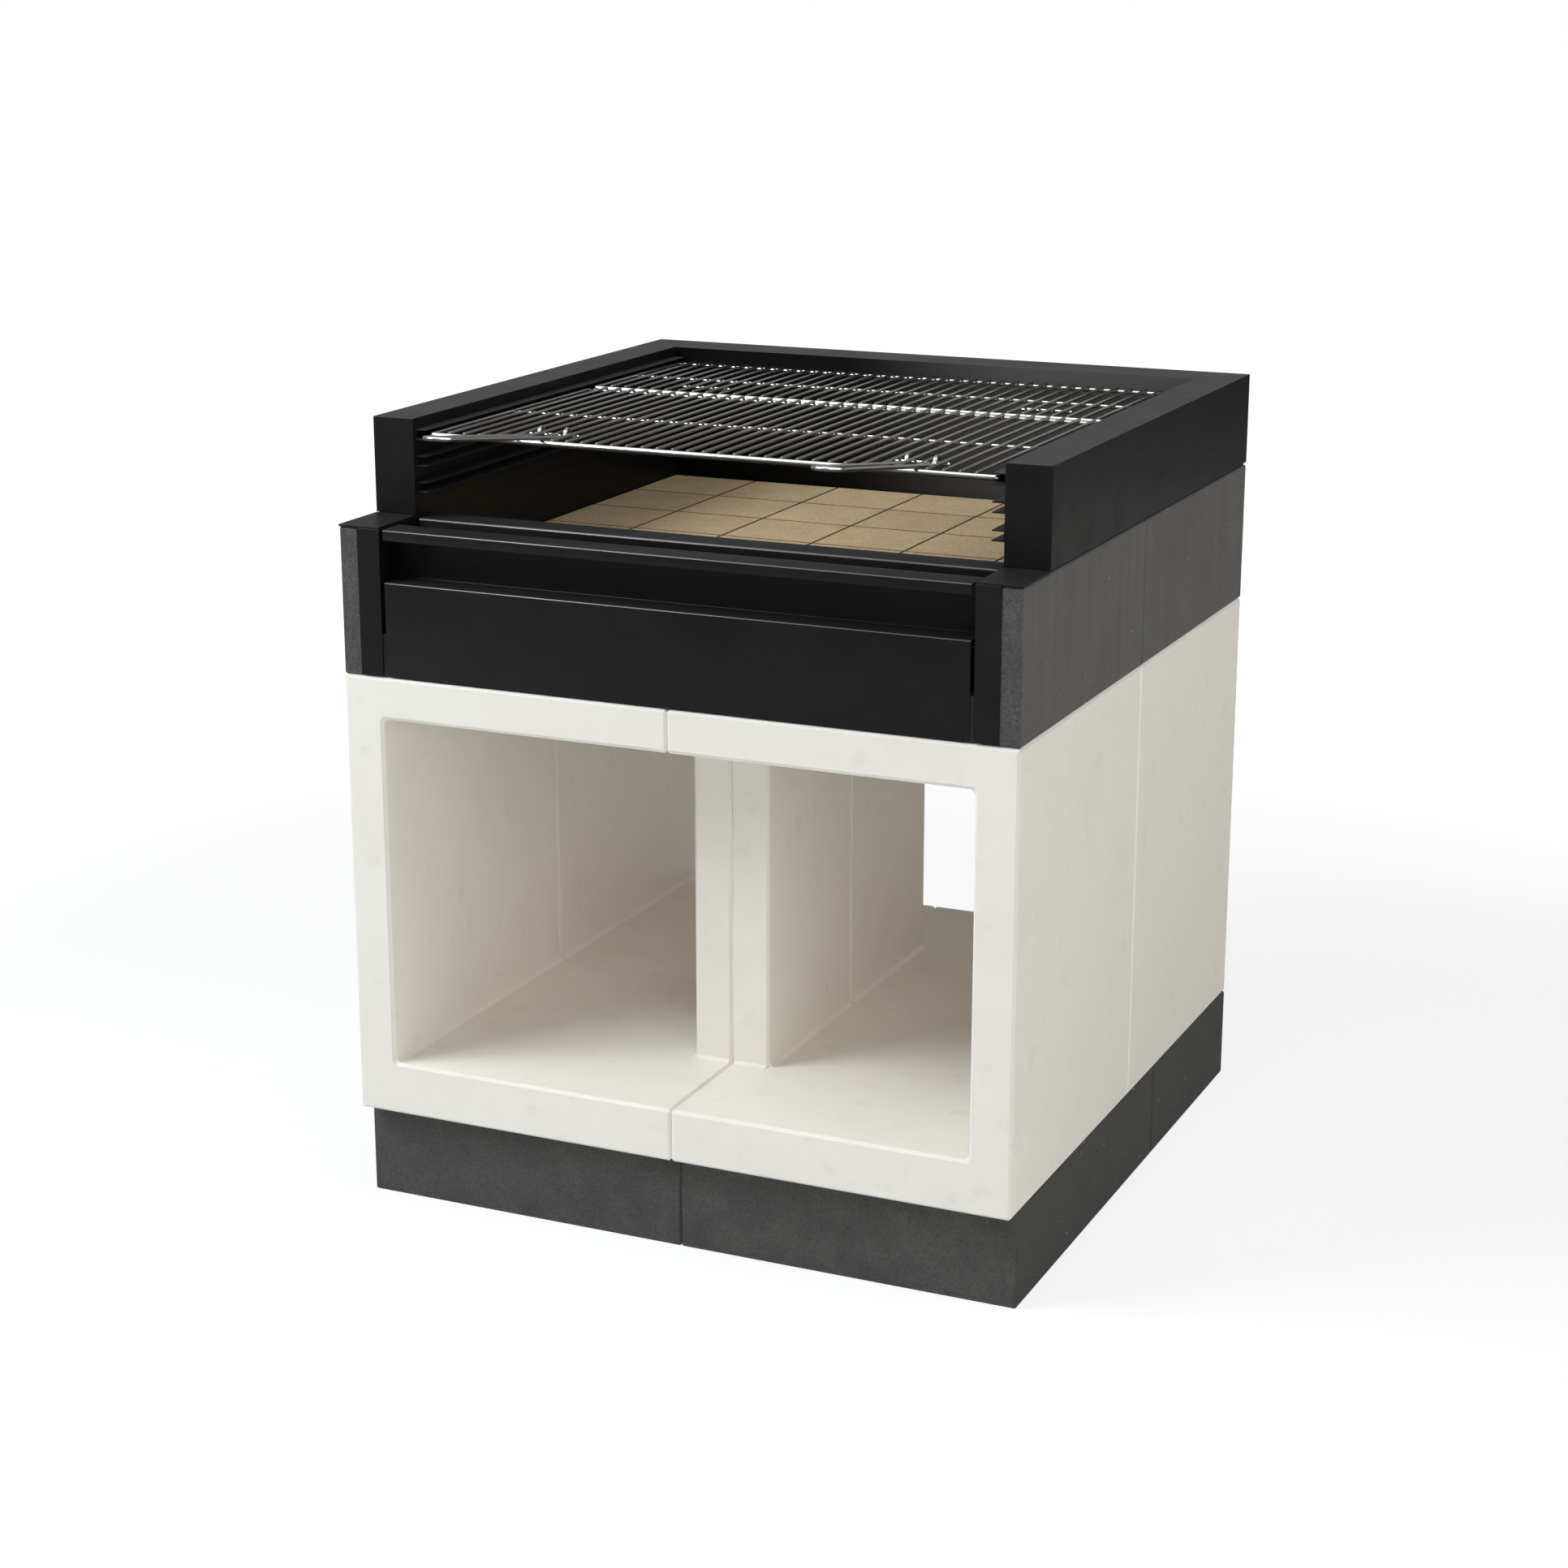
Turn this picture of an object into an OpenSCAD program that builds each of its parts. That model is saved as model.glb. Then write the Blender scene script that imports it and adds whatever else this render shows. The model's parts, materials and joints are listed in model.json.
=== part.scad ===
// Built-in wood grill: concrete plinth and base, steel-lined hearth with a floor of
// firebricks, ash drawer, sliding wire grids and hinged wire handles.
// Millimetres. X runs along the front, Y runs from front to back, Z is up.
// The origin is on the ground, in the middle of the whole grill with its handles.

/* [Overall] */
// Width of the grill along its front
body_w = 860; // [840:1:900]
// Depth of the grill from its front face to its back
body_d = 860; // [840:1:900]
// How far the handles reach in front of the front face
handle_reach = 121; // [80:1:200]

/* [Plinth and base] */
// Height of the plinth
plinth_h = 120; // [60:1:200]
// How far the plinth is set back from the front face
plinth_setback = 26; // [0:1:80]
// Distance from the front face to the joint in the plinth's side
plinth_joint = 535; // [300:1:700]
// Height of the light base castings
base_h = 556; // [400:1:700]
// Thickness of the base's outer walls
base_wall = 52; // [30:1:80]
// Thickness of the base's floor
base_floor = 66; // [40:1:90]
// Thickness of the base's top slab
base_top = 52; // [40:1:80]
// Thickness of each leaf of the middle partition
leaf_t = 50; // [30:1:80]
// How far the partition stands back from both ends of the opening
leaf_setback = 173; // [60:1:300]
// Leg of the 45 degree fillets in the corners of the opening
fillet_leg = 5; // [3:0.5:15]
// Leg of the chamfers on the base's edges and joints
base_edge = 3.4; // [1:0.1:6]
// Leg of the chamfers on the dark concrete
dark_edge = 2.4; // [1:0.1:5]

/* [Hearth] */
// Height of the hearth's concrete walls, from the base up
hearth_h = 179; // [176:1:200]
// Thickness of the hearth's concrete walls
hearth_wall = 25; // [15:1:35]
// Thickness of the hearth's concrete floor
hearth_floor = 53; // [40:1:54]
// How far the hearth's walls stand behind the front face
hearth_setback = 1; // [0:0.5:5]
// How far the hearth's floor stands behind the front face
slab_setback = 6; // [5:0.5:20]
// Thickness of the black steel plate
plate_t = 3; // [2:0.5:5]
// Width of the steel surround's side walls
surround_w = 55; // [45:1:70]
// Width of the steel surround's back wall
back_w = 67; // [50:1:90]
// Height of the steel surround above the hearth's walls
surround_h = 116; // [110:1:150]
// Distance from the front face to the surround's front posts
post_y = 86; // [80:1:120]
// How far the flange's edge lies inside the surround's outer face
shadow_gap = 3; // [0:0.5:6]
// Depth of the fire pan below its flange
pan_drop = 93; // [85:1:95]

/* [Front wall] */
// Distance from the front face to the front wall's upright face
lip_y = 84; // [78:1:110]
// Depth of the front wall's flat top
lip_top = 43; // [25:1:60]
// Depth of the front wall at its foot
lip_foot = 79; // [62:1:100]

/* [Firebricks] */
// Number of bricks across the fire
brick_columns = 6; // [4:1:6]
// Number of bricks from front to back
brick_rows = 5; // [4:1:5]
// Thickness of a brick
brick_t = 30; // [20:1:40]
// Width of the joint between two bricks
brick_joint = 0.7; // [0.5:0.1:3]
// Gap between the bricks and the fire pan's side walls
brick_side_gap = 0.9; // [0.5:0.1:5]
// Gap between the bricks and the foot of the front wall
brick_front_gap = 1.5; // [0.5:0.5:5]
// Gap between the bricks and the fire pan's back wall
brick_back_gap = 5; // [1:0.5:10]
// Leg of the chamfers on a brick's edges
brick_edge = 1; // [0.5:0.1:3]

/* [Ash drawer] */
// Thickness of the drawer's sheet
drawer_t = 1.5; // [1:0.1:2]
// Gap between the drawer's front and the trims at its sides
drawer_gap = 5; // [2:0.5:10]
// Gap below the drawer's front
drawer_foot_gap = 2; // [1:0.5:5]
// Height of the drawer's front panel
panel_h = 114; // [100:1:125]
// Depth of the folded pull recess
recess_d = 40; // [25:1:50]
// Height of the nose above the pull recess
nose_h = 12.5; // [8:0.5:25]
// Length of the ash tray behind the front panel
tray_l = 637.5; // [500:0.5:700]
// Gap between the tray and each runner's upright leg
tray_side_gap = 4; // [1:0.5:8]
// Gap between the tray's rim and the fire pan above it
tray_head_gap = 5; // [2:0.5:10]
// Distance from the fire pan's inner wall to each runner's outer face
runner_inset = 11; // [2:1:30]
// Thickness of the runners' sheet
runner_t = 2; // [1:0.5:3]
// Width of a runner's lower leg
runner_w = 26; // [15:1:50]
// Height of a runner
runner_h = 16; // [10:1:24]

/* [Rails] */
// Number of rails on each inner wall
rail_levels = 3; // [1:1:3]
// Height step from one rail to the next
rail_step = 31.6; // [25:0.1:33]
// Depth of the top rail's upper edge below the surround's top
rail_drop = 12.8; // [6:0.1:20]
// Height of a rail
rail_h = 13.1; // [12.6:0.1:16]
// Width of a rail's flanges
rail_w = 16; // [14:0.5:22]
// Thickness of a rail's sheet
rail_t = 1.6; // [1:0.1:2]
// Gap between a rail's ends and the surround
rail_end_gap = 3; // [1:0.5:10]

/* [Grids] */
// Thickness of the grids' rods
rod_d = 4; // [3:0.1:5]
// Thickness of the wires welded under the rods
wire_d = 5; // [4:0.1:6]
// Number of rods in each grid
rod_count = 35; // [31:2:37]
// Thickness of the grids' frame bars
bar_d = 7; // [6:0.1:8]
// Distance from the middle of a side bar to the surround's inner wall
side_bar_inset = 12.5; // [11:0.5:13]
// Distance from a side bar to the first rod, middle to middle
first_rod = 27.5; // [20:0.5:40]
// Height of the rods above the frame bars, middle to middle
rod_rise = 3.5; // [3:0.1:5]
// How deep a cross wire is fused into the rods above it
weld = 0.3; // [0.2:0.05:0.5]
// Distance from the front face to the front grid's front bar
front_grid_y = 100; // [96:1:110]
// Distance from the front face to the rear grid's front bar
rear_grid_y = 520; // [519:1:530]
// Distances of the front grid's cross wires behind its front bar
front_wires = [205, 408]; // [100:1:408]
// Distances of the rear grid's cross wires behind its front bar
rear_wires = [127, 257]; // [80:1:259]
// How far the rods run past the last cross wire
rod_tail = 3; // [0:0.5:5]
// Gap between a grid and the rails it slides in
slide_gap = 0.3; // [0.2:0.1:1]

/* [Handles] */
// Thickness of the handles' wire
handle_d = 5; // [4:0.1:5.5]
// Distance between a handle's two legs, middle to middle
leg_gap = 35; // [34:0.1:36]
// Slope of the handles above the level, in degrees
handle_slope = 7.9; // [6:0.1:9]
// Distance from the front bar back to the wire that the hooks sit on
socket_y = 64; // [60:1:70]
// Length of that wire
socket_l = 68; // [66:1:70]
// Radius of the hooks, to the middle of the wire
hook_r = 5.5; // [5.3:0.1:6]
// Radius of the bend between a leg and its hook
neck_r = 4.5; // [3.5:0.1:5]
// How far a hook reaches down behind its wire
hook_tail = 5.8; // [2:0.1:8]
// Distance from the front bar back to the short locating wire
locator_y = 30; // [20:1:40]
// Length of the locating wire
locator_l = 26; // [22:1:28]
// Gap between a handle at rest and the front bar
rest_gap = 0.3; // [0.2:0.1:1]

/* [Hidden] */
$fn = 48;
BRICKS = [for (row = [1:brick_rows], column = [1:brick_columns]) str("firebrick_", row, "_", column)];
RAILS = [for (side = ["left", "right"], level = [1:rail_levels]) str("rail_", side, "_", level)];

LIGHT = [0.89, 0.88, 0.85];
DARK = [0.24, 0.24, 0.23];
STEEL = [0.14, 0.14, 0.14];
BRICK = [0.67, 0.59, 0.45];
STAINLESS = [0.78, 0.78, 0.77];

half_w = body_w / 2;
half_d = body_d / 2;
// The front face, placed so that the origin lies midway between the handles and the back.
front_y = (handle_reach - body_d) / 2;

// Heights of the stacked parts.
hearth_z = plinth_h + base_h;
slab_z = hearth_z + hearth_floor;
wall_z = hearth_z + hearth_h;
flange_z = wall_z + plate_t;
top_z = wall_z + plate_t + surround_h;
pan_z = flange_z - pan_drop;

// The fire opening between the surround's inner walls.
fire_x = half_w - surround_w;
fire_back = body_d - back_w;
column_pitch = 2 * (fire_x - brick_side_gap) / brick_columns;
brick_y = lip_y + lip_foot + brick_front_gap;
row_pitch = (fire_back - brick_back_gap - brick_y) / brick_rows;

// The drawer.
runner_x = fire_x - runner_inset;
tray_x = runner_x - runner_t - tray_side_gap;
tray_z = slab_z + runner_t + slide_gap;
tray_h = pan_z - plate_t - tray_head_gap - tray_z;
drawer_x = fire_x - drawer_gap;
drawer_y = hearth_setback;

// The grids lie in the top rails.
rail_z = top_z - rail_drop - rail_h;
bar_z = rail_z + rail_t + slide_gap + bar_d / 2;
rod_z = bar_z + rod_rise;
wire_z = rod_z - (rod_d + wire_d) / 2 + weld;
side_bar_x = fire_x - side_bar_inset;
rod_pitch = 2 * (side_bar_x - first_rod) / (rod_count - 1);
rods_each_side = (rod_count - 1) / 2;
// Handles sit astride four rods, counted from the middle rod to the gap they centre on.
LEFT_SEAT = -11.5;
RIGHT_SEAT = 12.5;

// Lengths along a handle's leg are rounded, so that its bends meet it exactly.
function hundredths(v) = round(v * 100) / 100;
// A handle's leg clears the front bar by the rest gap where it crosses above it.
leg_over_bar = (bar_d / 2 + handle_d / 2 + rest_gap) / cos(handle_slope);
hook_back = socket_y * cos(handle_slope) + (leg_over_bar + bar_z - wire_z) * sin(handle_slope);
leg_back = hundredths(hook_back - hook_r - neck_r);
loop_r = leg_gap / 2;
loop_y = -handle_reach + loop_r * cos(handle_slope) + handle_d / 2;
leg_front = hundredths((front_grid_y - loop_y) / cos(handle_slope));

// A small overshoot for cuts that run past a face.
eps = 1;

// Moves a part from the grill's own frame, where Y starts at the front face.
module placed() {
    translate([0, front_y, 0]) children();
}

// Draws a right-hand part, or its mirror image on the left.
module sided(side) {
    mirror([side < 0 ? 1 : 0, 0, 0]) children();
}

// A rectangle with its four corners cut at 45 degrees.
module cut_rect(w, h, c) {
    polygon([[c, 0], [w - c, 0], [w, c], [w, h - c], [w - c, h], [c, h], [0, h - c], [0, c]]);
}

// A block with all twelve edges chamfered.
module block(x, y, z, c) {
    intersection() {
        linear_extrude(z) cut_rect(x, y, c);
        translate([0, y, 0]) rotate([90, 0, 0]) linear_extrude(y) cut_rect(x, z, c);
        rotate([90, 0, 90]) linear_extrude(x) cut_rect(y, z, c);
    }
}

// A plain box between two corners.
module box(x0, x1, y0, y1, z0, z1) {
    translate([x0, y0, z0]) cube([x1 - x0, y1 - y0, z1 - z0]);
}

// A profile drawn in Y and Z, run along X from x0 to x1.
module along_x(x0, x1) {
    translate([x0, 0, 0]) rotate([90, 0, 90]) linear_extrude(x1 - x0) children();
}

// A profile drawn in X and Z, run along Y from y0 to y1.
module along_y(y0, y1) {
    translate([0, y1, 0]) rotate([90, 0, 0]) linear_extrude(y1 - y0) children();
}

// A straight wire along X.
module wire_x(x0, x1, y, z, d) {
    translate([x0, y, z]) rotate([0, 90, 0]) cylinder(d = d, h = x1 - x0);
}

// A straight wire along Y.
module wire_y(x, y0, y1, z, d) {
    translate([x, y0, z]) rotate([-90, 0, 0]) cylinder(d = d, h = y1 - y0);
}

// A bend in the YZ plane: it starts at the angle given, where 0 points back and 90 up.
module bend(x, y, z, r, start, turn, d) {
    translate([x, y, z])
        rotate([90, 0, 90])
            rotate([0, 0, start])
                rotate_extrude(angle = turn) translate([r, 0]) circle(d = d);
}

// One slab of the plinth, from y0 to y1.
module plinth_slab(side, y0, y1) {
    color(DARK) placed() sided(side)
        translate([0, y0, 0]) block(half_w, y1 - y0, plinth_h, dark_edge);
}

// The outline of half the base's opening in X and Z, grown outwards by g.
module base_opening(g) {
    x = half_w - base_wall + g;
    z0 = base_floor - g;
    z1 = base_h - base_top + g;
    k = fillet_leg;
    polygon([[-eps, z0], [x - k, z0], [x, z0 + k], [x, z1 - k], [x - k, z1], [-eps, z1]]);
}

// A flared rim, widest at y0 and down to the opening's own outline at y1.
module base_rim(y0, y1) {
    hull() {
        translate([0, y0, 0]) rotate([90, 0, 0]) linear_extrude(eps, center = true) base_opening(base_edge + eps / 2);
        translate([0, y1, 0]) rotate([90, 0, 0]) linear_extrude(0.01, center = true) base_opening(0);
    }
}

// The V groove that a joint makes along the floor and the ceiling of the opening.
module base_groove() {
    z0 = base_floor;
    z1 = base_h - base_top;
    g = base_edge + eps;
    along_y(-eps, leaf_setback + base_edge) {
        polygon([[-eps, z0 - g], [g, z0 + eps], [-eps, z0 + eps]]);
        polygon([[-eps, z1 + g], [g, z1 - eps], [-eps, z1 - eps]]);
    }
}

// One leaf of the partition, with the fillets at its foot and head.
module base_leaf() {
    z0 = base_floor;
    z1 = base_h - base_top;
    k = fillet_leg;
    translate([0, leaf_setback, 0])
        linear_extrude(base_h) cut_rect(leaf_t, half_d - leaf_setback, base_edge);
    along_y(leaf_setback + base_edge, half_d - base_edge) {
        polygon([[leaf_t - eps, z0 - eps], [leaf_t + k + eps, z0 - eps], [leaf_t, z0 + k], [leaf_t - eps, z0 + k]]);
        polygon([[leaf_t - eps, z1 + eps], [leaf_t + k + eps, z1 + eps], [leaf_t, z1 - k], [leaf_t - eps, z1 - k]]);
    }
    along_x(base_edge, leaf_t - base_edge) {
        y = leaf_setback + base_edge;
        g = 2 * base_edge + eps;
        polygon([[y, z0 - eps], [y - g, z0 - eps], [y, z0 + g - eps]]);
        polygon([[y, z1 + eps], [y - g, z1 + eps], [y, z1 - g + eps]]);
    }
}

// A quarter of the base: wall, floor, top slab and one leaf of the partition.
module base_quarter() {
    difference() {
        block(half_w, half_d, base_h, base_edge);
        difference() {
            union() {
                along_y(-eps, half_d + eps) base_opening(0);
                base_rim(0, base_edge);
                base_rim(half_d, half_d - base_edge);
                base_groove();
            }
            base_leaf();
        }
    }
}

module base_casting(side, rear) {
    color(LIGHT) placed() sided(side)
        translate([0, rear ? body_d : 0, plinth_h])
            mirror([0, rear ? 1 : 0, 0]) base_quarter();
}

// The hearth's trough, cut from one chamfered block between y0 and y1.
module hearth_half(y0, y1, cavity_back) {
    inner = half_w - hearth_wall;
    color(DARK) placed() difference() {
        translate([-half_w, y0, hearth_z]) block(body_w, y1 - y0, hearth_h, dark_edge);
        box(-inner, inner, -eps, cavity_back, slab_z, wall_z + eps);
        box(-inner, inner, -eps, slab_setback, hearth_z - eps, slab_z + eps);
    }
}

// The plan of the flange: arms to the front face, then a rim set in under the surround.
module flange_plan() {
    x = half_w - shadow_gap;
    y = body_d - shadow_gap;
    polygon([
        [-half_w, 0], [-fire_x, 0], [-fire_x, fire_back], [fire_x, fire_back], [fire_x, 0], [half_w, 0],
        [half_w, post_y], [x, post_y], [x, y], [-x, y], [-x, post_y], [-half_w, post_y]
    ]);
}

// The fire pan: floor, three walls and the flange that hangs it on the hearth.
module fire_pan() {
    x = fire_x + plate_t;
    y = fire_back + plate_t;
    color(STEEL) placed() {
        box(-x, x, lip_y, y, pan_z - plate_t, pan_z);
        box(-x, -fire_x, lip_y, y, pan_z - plate_t, flange_z);
        box(fire_x, x, lip_y, y, pan_z - plate_t, flange_z);
        box(-x, x, fire_back, y, pan_z - plate_t, flange_z);
        translate([0, 0, wall_z]) linear_extrude(plate_t) flange_plan();
    }
}

// The steel strip beside the drawer, with a return that lines the side of the ash slot.
module trim(side) {
    color(STEEL) placed() sided(side) {
        box(fire_x, half_w - hearth_wall, 0, plate_t, hearth_z + drawer_foot_gap, wall_z);
        box(fire_x, fire_x + plate_t, 0, lip_y, slab_z, wall_z);
    }
}

// The plan of the surround's three walls, drawn in by t all round.
module surround_plan(t) {
    x = half_w - t;
    xi = fire_x + t;
    y0 = post_y + t;
    yi = fire_back + t;
    y1 = body_d - t;
    polygon([[-x, y0], [-xi, y0], [-xi, yi], [xi, yi], [xi, y0], [x, y0], [x, y1], [-x, y1]]);
}

// The surround: one sheet folded over the three walls, open below.
module surround() {
    h = top_z - flange_z;
    color(STEEL) placed() translate([0, 0, flange_z]) difference() {
        linear_extrude(h) surround_plan(0);
        translate([0, 0, -eps]) linear_extrude(h - plate_t + eps) surround_plan(plate_t);
    }
}

// The front wall: one folded sheet with an upright face, a flat top and a raked back.
module front_wall() {
    h = wall_z - pan_z;
    rake = (lip_foot - lip_top) / h;
    skew = plate_t * sqrt(1 + rake * rake);
    color(STEEL) placed() translate([0, lip_y, pan_z])
        along_x(-drawer_x, drawer_x) polygon([
            [0, 0], [0, h], [lip_top, h], [lip_foot, 0], [lip_foot - skew, 0],
            [lip_top + rake * plate_t - skew, h - plate_t], [plate_t, h - plate_t], [plate_t, 0]
        ]);
}

// One rail: a channel on the inner wall, open towards the fire.
module rail(side, level) {
    z = rail_z - (level - 1) * rail_step;
    color(STEEL) placed() sided(side) difference() {
        box(fire_x - rail_w, fire_x, post_y + rail_end_gap, fire_back - rail_end_gap, z, z + rail_h);
        box(fire_x - rail_w - eps, fire_x - rail_t, 0, body_d, z + rail_t, z + rail_h - rail_t);
    }
}

module firebrick(row, column) {
    x = (column - 1 - brick_columns / 2) * column_pitch + brick_joint / 2;
    y = brick_y + (row - 1) * row_pitch + brick_joint / 2;
    color(BRICK) placed() translate([x, y, pan_z])
        block(column_pitch - brick_joint, row_pitch - brick_joint, brick_t, brick_edge);
}

// A runner: an angle on the hearth's floor that carries and guides the ash tray.
module runner(side) {
    y0 = slab_setback + runner_t;
    color(STEEL) placed() sided(side) {
        box(runner_x - runner_w, runner_x, y0, fire_back, slab_z, slab_z + runner_t);
        box(runner_x - runner_t, runner_x, y0, fire_back, slab_z, slab_z + runner_h);
    }
}

// The drawer's front: one sheet folded into a panel, a pull recess and a nose.
module drawer_front() {
    t = drawer_t;
    z0 = hearth_z + drawer_foot_gap;
    z1 = z0 + panel_h;
    color(STEEL) placed() translate([0, drawer_y, 0])
        along_x(-drawer_x, drawer_x) polygon([
            [0, z0], [0, z1], [recess_d - t, z1], [recess_d - t, wall_z - t], [t, wall_z - t],
            [t, wall_z - nose_h], [0, wall_z - nose_h], [0, wall_z], [recess_d, wall_z],
            [recess_d, z1 - t], [t, z1 - t], [t, z0]
        ]);
}

// The ash tray, open above.
module drawer_tray() {
    t = drawer_t;
    y0 = drawer_y + t;
    color(STEEL) placed() difference() {
        box(-tray_x, tray_x, y0, y0 + tray_l, tray_z, tray_z + tray_h);
        box(t - tray_x, tray_x - t, y0 + t, y0 + tray_l - t, tray_z + t, tray_z + tray_h + eps);
    }
}

// A short wire welded under the rods, centred on a handle's seat.
module short_wire(seat, y, l) {
    x = seat * rod_pitch;
    wire_x(x - l / 2, x + l / 2, y, wire_z, wire_d);
}

// A grid: a front bar, two side bars, cross wires below and rods above.
// Each rod's front end is bent down into the front bar.
module grid(y, wires) {
    y1 = y + max(wires) + rod_tail;
    color(STAINLESS) placed() {
        wire_x(-side_bar_x, side_bar_x, y, bar_z, bar_d);
        for (m = [0, 1]) mirror([m, 0, 0]) wire_y(-side_bar_x, y - bar_d / 2, y1, bar_z, bar_d);
        for (w = wires) wire_x(-side_bar_x, side_bar_x, y + w, wire_z, wire_d);
        for (k = [-rods_each_side:rods_each_side]) {
            wire_y(k * rod_pitch, y + rod_rise, y1, rod_z, rod_d);
            bend(k * rod_pitch, y + rod_rise, bar_z, rod_rise, 90, 90, rod_d);
        }
        for (seat = [LEFT_SEAT, RIGHT_SEAT]) short_wire(seat, y + socket_y, socket_l);
    }
}

module grid_front() {
    grid(front_grid_y, front_wires);
    color(STAINLESS) placed()
        for (seat = [LEFT_SEAT, RIGHT_SEAT]) short_wire(seat, front_grid_y + locator_y, locator_l);
}

module grid_rear() {
    grid(rear_grid_y, rear_wires);
}

// A handle: a wire hairpin whose two ends are bent up and over the wire in the grid.
module handle(seat) {
    hook_y = leg_back + neck_r + hook_r;
    color(STAINLESS) placed()
        translate([seat * rod_pitch, front_grid_y, bar_z + leg_over_bar]) rotate([-handle_slope, 0, 0]) {
            translate([0, -leg_front, 0]) rotate([0, 0, 180])
                rotate_extrude(angle = 180) translate([loop_r, 0]) circle(d = handle_d);
            for (x = [-loop_r, loop_r]) {
                wire_y(x, -leg_front, leg_back, 0, handle_d);
                bend(x, leg_back, neck_r, neck_r, -90, 90, handle_d);
                bend(x, hook_y, neck_r, hook_r, 0, 180, handle_d);
                translate([x, hook_y + hook_r, neck_r - hook_tail]) cylinder(d = handle_d, h = hook_tail);
            }
        }
}

plinth_slab(-1, plinth_setback, plinth_joint);  // plinth_front_left
plinth_slab(1, plinth_setback, plinth_joint);  // plinth_front_right
plinth_slab(-1, plinth_joint, body_d);  // plinth_rear_left
plinth_slab(1, plinth_joint, body_d);  // plinth_rear_right
base_casting(-1, false);  // base_front_left
base_casting(1, false);  // base_front_right
base_casting(-1, true);  // base_rear_left
base_casting(1, true);  // base_rear_right
hearth_half(hearth_setback, half_d, half_d + eps);  // hearth_front
hearth_half(half_d, body_d, body_d - hearth_wall);  // hearth_rear
fire_pan();
trim(-1);  // trim_left
trim(1);  // trim_right
surround();
front_wall();
for (level = [1:rail_levels]) {
    rail(-1, level);
    rail(1, level);
}
for (row = [1:brick_rows], column = [1:brick_columns]) {
    firebrick(row, column);
}
runner(-1);  // runner_left
runner(1);  // runner_right
drawer_front();
drawer_tray();
grid_front();
grid_rear();
handle(LEFT_SEAT);  // handle_left
handle(RIGHT_SEAT);  // handle_right
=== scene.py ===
import json
from math import radians

import bpy
from mathutils import Matrix, Vector


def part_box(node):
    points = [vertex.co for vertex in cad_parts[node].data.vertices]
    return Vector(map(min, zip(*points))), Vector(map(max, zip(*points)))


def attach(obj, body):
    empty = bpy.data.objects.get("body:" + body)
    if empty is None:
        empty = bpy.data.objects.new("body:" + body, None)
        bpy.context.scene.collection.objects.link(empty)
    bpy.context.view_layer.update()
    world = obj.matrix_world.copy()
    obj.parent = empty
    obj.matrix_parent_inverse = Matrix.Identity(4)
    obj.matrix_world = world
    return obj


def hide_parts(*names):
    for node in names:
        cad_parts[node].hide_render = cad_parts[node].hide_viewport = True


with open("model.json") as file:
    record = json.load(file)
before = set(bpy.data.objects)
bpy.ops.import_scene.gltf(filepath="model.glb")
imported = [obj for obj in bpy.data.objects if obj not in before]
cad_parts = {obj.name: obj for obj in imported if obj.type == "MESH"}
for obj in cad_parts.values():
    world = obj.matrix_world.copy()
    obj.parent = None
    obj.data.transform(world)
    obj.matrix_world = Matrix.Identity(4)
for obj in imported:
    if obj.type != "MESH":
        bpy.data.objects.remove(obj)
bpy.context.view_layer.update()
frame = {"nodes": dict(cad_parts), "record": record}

# Camera
# Where the photographer stood: to the right of the grill, at about eye height,
# with a short telephoto lens on a square frame.
camera_tips_down = 15.723
camera_turns_left = 24.223
lens = bpy.data.cameras.new("camera")
lens.lens = 70
lens.sensor_width = 36
camera = bpy.data.objects.new("camera", lens)
camera.location = (1.5089, -3.3940, 1.5388)
camera.rotation_euler = (radians(90 - camera_tips_down), 0, radians(camera_turns_left))
bpy.context.scene.collection.objects.link(camera)
bpy.context.scene.camera = camera


# Studio
# A white floor that runs into a white background. The strongest soft lamp stands high at
# the front left, and weaker ones fill in from the other sides and from above.
def wire(tree, source, target):
    tree.links.new(source, target)


def step(tree, kind, links=(), **values):
    """Adds a node. Each link is a socket and what goes in: another node's output or a value."""
    node = tree.nodes.new("ShaderNode" + kind)
    for key, value in values.items():
        setattr(node, key, value)
    for socket, source in links:
        if isinstance(source, bpy.types.NodeSocket):
            wire(tree, source, node.inputs[socket])
        else:
            node.inputs[socket].default_value = source
    return node


scene = bpy.context.scene
scene.view_settings.view_transform = "Standard"
sky = bpy.data.worlds.new("studio")
scene.world = sky
sky.use_nodes = True
tree = sky.node_tree
background = tree.nodes["Background"]
background.inputs["Color"].default_value = (1, 1, 1, 1)
fill = 0.03
seen = step(tree, "LightPath")
facing = step(tree, "TexCoord")
height = step(tree, "SeparateXYZ", [(0, facing.outputs["Generated"])])
horizon = step(tree, "MapRange", [("Value", height.outputs["Z"]), ("From Min", 0.25), ("From Max", 0.55),
                                  ("To Min", 0.32), ("To Max", 0.0)], interpolation_type="SMOOTHSTEP")
overhead = step(tree, "MapRange", [("Value", height.outputs["Z"]), ("From Min", 0.57), ("From Max", 0.77),
                                   ("To Min", 0.0), ("To Max", 1.8)], interpolation_type="SMOOTHSTEP")
around = step(tree, "Math", [(0, horizon.outputs[0]), (1, overhead.outputs[0])], operation="ADD")
mirrored = step(tree, "Math", [(0, around.outputs[0]), (1, seen.outputs["Is Glossy Ray"])],
                operation="MULTIPLY")
unmirrored = step(tree, "Math", [(0, mirrored.outputs[0]), (1, fill)], operation="MAXIMUM")
level = step(tree, "Math", [(0, unmirrored.outputs[0]), (1, seen.outputs["Is Camera Ray"])],
             operation="MAXIMUM")
wire(tree, level.outputs[0], background.inputs["Strength"])

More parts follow.
